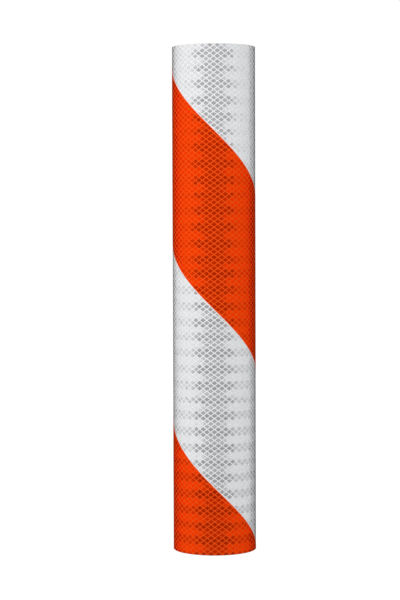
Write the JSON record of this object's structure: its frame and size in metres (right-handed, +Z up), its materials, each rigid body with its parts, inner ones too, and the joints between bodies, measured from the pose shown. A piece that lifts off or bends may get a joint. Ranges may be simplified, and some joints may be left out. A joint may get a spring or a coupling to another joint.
{
  "type": "delineator post",
  "caption": "Round upright delineator post wrapped in diagonal orange and white retroreflective sheeting, with a pull-out top cap and an anchor bush in its foot.",
  "frame": {"origin": "centre of the post's foot, on the ground it stands on", "axes": "+Z up along the tube's axis, -Y towards the front, where the stripes run as seen, +X to the front's right"},
  "size_m": [0.1008, 0.101, 0.61],
  "materials": {
    "tube_plastic": "extruded polyethylene, off-white",
    "white_sheeting": "prismatic retroreflective sheeting, white, sealed diamond cells",
    "orange_film": "transparent orange overlay film on the prismatic sheeting",
    "cap_plastic": "injection moulded polyethylene, black, fine texture",
    "seal_rubber": "nitrile rubber",
    "plug_plastic": "glass filled nylon, black",
    "bush_steel": "turned steel, zinc plated",
    "washer_steel": "pressed steel, zinc plated",
    "nut_steel": "forged steel, zinc plated",
    "rivet_aluminium": "plain aluminium"
  },
  "bodies": {
    "post": {"post_tube": "tube_plastic", "white_sheeting": "white_sheeting", "orange_film_middle": "orange_film", "orange_film_lower": "orange_film", "orange_film_rear": "orange_film", "base_plug": "plug_plastic", "threaded_bush": "bush_steel", "load_washer": "washer_steel", "lock_nut": "nut_steel", "plug_rivet_1": "rivet_aluminium", "plug_rivet_2": "rivet_aluminium", "plug_rivet_3": "rivet_aluminium", "plug_rivet_4": "rivet_aluminium"},
    "cap": {"top_cap": "cap_plastic", "top_cap_seal": "seal_rubber"}
  },
  "joints": [
    {"name": "cap_lift", "type": "slide", "parent": "post", "child": "cap", "axis": [0, 0, 1], "range_m": [0, 0.06]}
  ]
}
